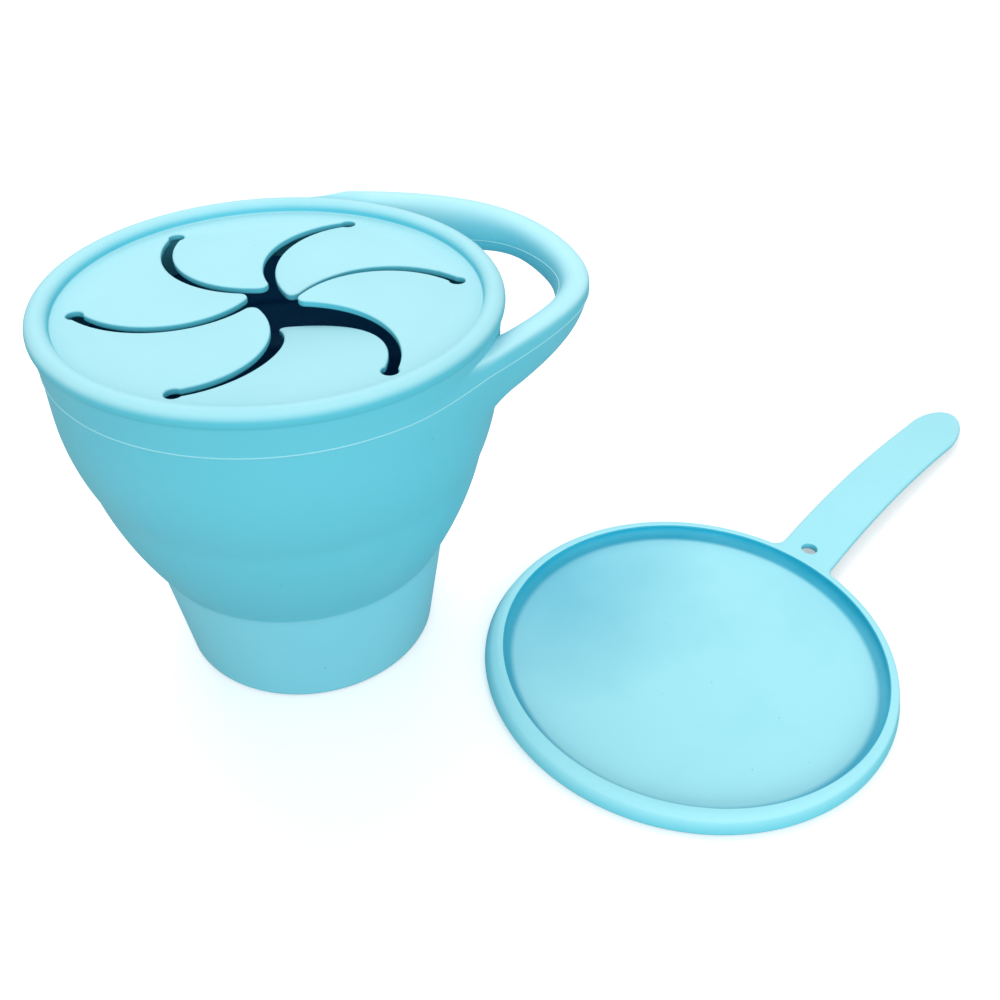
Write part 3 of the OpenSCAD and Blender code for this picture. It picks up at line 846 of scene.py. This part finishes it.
def silicone_skin_group():
    """Moulded silicone: a painted sheen (a paler colour on faces that look up, in place of the
    overhead light's reflection), faint clouding, dust specks and grain.
    """
    tree = bpy.data.node_groups.new("silicone_skin", "ShaderNodeTree")
    group_socket(tree, "Tone", "INPUT", "NodeSocketColor", (0.1, 0.6, 0.75, 1))
    group_socket(tree, "Painted Sheen Tone", "INPUT", "NodeSocketColor", (0.4, 0.8, 0.9, 1))
    group_socket(tree, "Clouding", "INPUT", value=0.1)
    group_socket(tree, "Dust", "INPUT", value=0.3)
    group_socket(tree, "Gloss Base", "INPUT", value=0.5)
    group_socket(tree, "Cup Shade Spot", "INPUT", "NodeSocketVector", (0, 0, 0))
    group_socket(tree, "Cup Shade Reach", "INPUT", value=0.001)
    group_socket(tree, "Corner Middle", "INPUT", "NodeSocketVector", (0, 0, 0))
    group_socket(tree, "Corner Start", "INPUT", value=1.0)
    group_socket(tree, "Corner End", "INPUT", value=2.0)
    group_socket(tree, "Color", "OUTPUT", "NodeSocketColor")
    group_socket(tree, "Roughness", "OUTPUT")
    group_socket(tree, "Height", "OUTPUT")
    given = tree.nodes.new("NodeGroupInput").outputs
    given_out = tree.nodes.new("NodeGroupOutput").inputs
    place = tree.nodes.new("ShaderNodeTexCoord").outputs
    at = {"Vector": place["Object"]}
    cloud = node(tree, "ShaderNodeTexNoise", at, Scale=38.0, Detail=4.0, Roughness=0.55)
    speck = node(tree, "ShaderNodeTexVoronoi", at, Scale=330.0, Randomness=1.0)
    grain = node(tree, "ShaderNodeTexNoise", at, Scale=2600.0, Detail=2.0)
    swell = node(tree, "ShaderNodeTexNoise", at, Scale=150.0, Detail=3.0)

    def away_from(name):
        feeds = {0: place["Object"], 1: given[name]}
        return node(tree, "ShaderNodeVectorMath", feeds, operation="DISTANCE").outputs["Value"]

    # Painted sheen: a paler colour on faces that look up, in place of the overhead light's
    # reflection, cut back by painted shade near the cup's side of the dish and beyond the dish's
    # corner
    facing = node(tree, "ShaderNodeSeparateXYZ", {"Vector": place["Normal"]})
    painted_sheen = mapped(tree, facing.outputs["Z"], 0.1, 0.82, smoothly=True)
    # Painted shade: the sheen drops to half near the cup's side of the dish
    cup_shade = mapped(tree, away_from("Cup Shade Spot"), 0.0, given["Cup Shade Reach"], (0.5, 1), True)
    # Painted shade: the sheen falls to a tenth from the corner start out to the corner end, darkening
    # the dish floor by its inner wall
    corner_shade = mapped(tree, away_from("Corner Middle"), given["Corner End"], given["Corner Start"],
                    (0.1, 1), True)
    sheen_mask = maths(tree, "MULTIPLY", painted_sheen, maths(tree, "MULTIPLY", corner_shade, cup_shade))
    haze = mapped(tree, cloud.outputs["Fac"], 0.35, 0.7, (-0.5, 0.5))
    hazy = maths(tree, "MULTIPLY_ADD", haze, given["Clouding"], sheen_mask, use_clamp=True)
    toned = node(tree, "ShaderNodeMix", data_type="RGBA")
    tree.links.new(hazy, toned.inputs["Factor"])
    tree.links.new(given["Tone"], toned.inputs["A"])
    tree.links.new(given["Painted Sheen Tone"], toned.inputs["B"])

    # Dust: a few fine dark specks
    dots = mapped(tree, speck.outputs["Distance"], 0.02, 0.1, (1, 0))
    few = node(tree, "ShaderNodeSeparateColor", {"Color": speck.outputs["Color"]})
    chosen = mapped(tree, few.outputs["Red"], 0.9, 1.0)
    amount = maths(tree, "MULTIPLY", maths(tree, "MULTIPLY", dots, chosen), given["Dust"])
    specked = node(tree, "ShaderNodeMix", data_type="RGBA")
    specked.inputs["B"].default_value = (0.05, 0.16, 0.2, 1)
    tree.links.new(amount, specked.inputs["Factor"])
    tree.links.new(toned.outputs["Result"], specked.inputs["A"])
    tree.links.new(specked.outputs["Result"], given_out["Color"])

    # Gloss and height: a slow swell, and fine grain in the height alone
    uneven = mapped(tree, swell.outputs["Fac"], 0.0, 1.0, (-0.05, 0.05))
    rough = maths(tree, "ADD", uneven, given["Gloss Base"])
    tree.links.new(rough, given_out["Roughness"])
    fine = maths(tree, "MULTIPLY_ADD", grain.outputs["Fac"], 0.35, swell.outputs["Fac"])
    tree.links.new(fine, given_out["Height"])
    return tree


def silicone(name, group, tone, painted_sheen, clouding=0.12, dust=0.7, gloss=0.5, **more):
    """A silicone material: its tone, and the paler tone painted on faces that look up in place of the
    light's reflection. More values for the group's inputs go in by name.
    """
    material = bpy.data.materials.new(name)
    material.use_nodes = True
    tree = material.node_tree
    shader = tree.nodes["Principled BSDF"]
    skin = tree.nodes.new("ShaderNodeGroup")
    skin.node_tree = group
    more.update({"Tone": (*tone, 1), "Painted Sheen Tone": (*painted_sheen, 1), "Clouding": clouding, "Dust": dust,
                 "Gloss Base": gloss})
    for key, value in more.items():
        skin.inputs[key].default_value = value
    bump = node(tree, "ShaderNodeBump", {"Height": skin.outputs["Height"]}, Strength=0.25,
                Distance=0.06 * MM)
    tree.links.new(skin.outputs["Color"], shader.inputs["Base Color"])
    tree.links.new(skin.outputs["Roughness"], shader.inputs["Roughness"])
    tree.links.new(bump.outputs["Normal"], shader.inputs["Normal"])
    shader.inputs["IOR"].default_value = 1.42
    shader.inputs["Specular IOR Level"].default_value = 0.4
    return material


# Floor, light and camera

def floor():
    """A wide white table. It looks white to the camera and sends less light back to the object."""
    mesh = bmesh.new()
    bmesh.ops.create_grid(mesh, x_segments=1, y_segments=1, size=TABLE_SIZE)
    material = bpy.data.materials.new("white_table")
    material.use_nodes = True
    tree = material.node_tree
    shader = tree.nodes["Principled BSDF"]
    seen = tree.nodes.new("ShaderNodeLightPath").outputs["Is Camera Ray"]
    shown = node(tree, "ShaderNodeMix", data_type="RGBA")
    shown.inputs["A"].default_value = (0.5, 0.5, 0.5, 1)
    shown.inputs["B"].default_value = (0.9, 0.9, 0.9, 1)
    tree.links.new(seen, shown.inputs["Factor"])
    tree.links.new(shown.outputs["Result"], shader.inputs["Base Color"])
    tree.links.new(maths(tree, "MULTIPLY", seen, TABLE_GLOW), shader.inputs["Emission Strength"])
    shader.inputs["Emission Color"].default_value = (1, 1, 1, 1)
    shader.inputs["Roughness"].default_value = 0.9
    data = bpy.data.meshes.new("table")
    mesh.to_mesh(data)
    mesh.free()
    made = bpy.data.objects.new("table", data)
    bpy.context.scene.collection.objects.link(made)
    data.materials.append(material)


def lamp(name, place, aim, width, height, power):
    """A rectangular soft light that faces a point."""
    data = bpy.data.lights.new(name, "AREA")
    data.shape = "RECTANGLE"
    data.size, data.size_y, data.energy = width, height, power
    made = bpy.data.objects.new(name, data)
    bpy.context.scene.collection.objects.link(made)
    made.location = place
    made.rotation_euler = (Vector(aim) - Vector(place)).to_track_quat("-Z", "Y").to_euler()


def world_light(strength):
    """A plain white world that the camera sees at full white."""
    world = bpy.data.worlds.new("studio")
    bpy.context.scene.world = world
    world.use_nodes = True
    tree = world.node_tree
    back = tree.nodes["Background"]
    back.inputs["Color"].default_value = (1, 1, 1, 1)
    path = tree.nodes.new("ShaderNodeLightPath")
    seen = node(tree, "ShaderNodeMix", data_type="FLOAT")
    seen.inputs["A"].default_value = strength
    seen.inputs["B"].default_value = 1.0
    tree.links.new(path.outputs["Is Camera Ray"], seen.inputs["Factor"])
    tree.links.new(seen.outputs["Result"], back.inputs["Strength"])


def camera():
    data = bpy.data.cameras.new("camera")
    data.lens, data.sensor_width = CAMERA_LENS, 36
    data.clip_start = 0.01
    made = bpy.data.objects.new("camera", data)
    bpy.context.scene.collection.objects.link(made)
    made.matrix_world = (Matrix.Translation(CAMERA_AT) @ Matrix.Rotation(-CAMERA_YAW, 4, "Z")
                         @ Matrix.Rotation(pi / 2 - CAMERA_DOWN, 4, "X")
                         @ Matrix.Rotation(CAMERA_ROLL, 4, "Z"))
    bpy.context.scene.camera = made


camera()
world_light(WORLD_LIGHT)
floor()
lamp("back_softbox", (0.2, 0.6, 0.8), LIGHT_AIM, 0.9, 0.9, 4.4)
lamp("front_softbox", (-0.3, -0.95, 0.4), LIGHT_AIM, 1.0, 0.6, 5.6)

skin_group = silicone_skin_group()
# The second colour of each silicone is its painted sheen: the paler colour that up-facing faces take
# in place of the overhead light's reflection
deep_blue, painted_sheen_blue = (0.13, 0.60, 0.74), (0.41, 0.83, 0.92)
cup_blue = silicone("cup_silicone", skin_group, deep_blue, painted_sheen_blue)
# Painted light: the base tier is the same silicone, coloured lighter in place of the low front light
# falling on it
lit_base_blue = silicone("cup_base_silicone", skin_group, (0.21, 0.68, 0.82), painted_sheen_blue)
# Painted highlight: the loop's sheen colour is paler than the cup's, for a brighter lit top
loop_blue = silicone("loop_silicone", skin_group, deep_blue, (0.48, 0.9, 0.99))
# Painted shade: the cup's inside is the same silicone, coloured far darker in place of the cavity's
# shade
inside_shade_blue = silicone("cup_inside_shade", skin_group, (0.015, 0.2, 0.45), (0.03, 0.28, 0.55), dust=0.0)
# Painted highlight: the parting line is coloured paler than the cup, in place of the light its ridge
# catches
line_highlight_blue = silicone("parting_line", skin_group, (0.24, 0.68, 0.79), (0.42, 0.82, 0.9), dust=0.0)
lid_blue = silicone("lid_silicone", skin_group, (0.10, 0.56, 0.7), painted_sheen_blue, dust=0.4)
cover_painted_sheen = (0.39, 0.86, 0.96)
cover_blue = silicone("cover_silicone", skin_group, (0.17, 0.69, 0.83), cover_painted_sheen, dust=0.4)
# Painted shade: the floor and wall inside the cover's rim are coloured darker than the rest of the
# cover
dish_shade_blue = silicone("cover_dish_silicone", skin_group, (0.02, 0.43, 0.61), cover_painted_sheen, dust=0.4,
                     **{"Cup Shade Spot": COVER_CUP_SHADE, "Cup Shade Reach": 0.05, "Corner Middle": DISH_AT,
                        "Corner Start": DISH_R - DISH_COVE - 1.2 * MM,
                        "Corner End": DISH_R - DISH_COVE + 0.6 * MM})

for piece in (cup_lower_tiers(cup_blue, inside_shade_blue, lit_base_blue), cup_top_tier(cup_blue, inside_shade_blue),
              finger_loop(loop_blue), parting_line(line_highlight_blue)):
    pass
for piece in (lid_ring(lid_blue), *[lid_flap(k, lid_blue) for k in range(SLITS)]):
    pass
for piece in (cover_dish(cover_blue, dish_shade_blue), cover_strap(cover_blue)):
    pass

bpy.context.scene.view_settings.view_transform = "Standard"
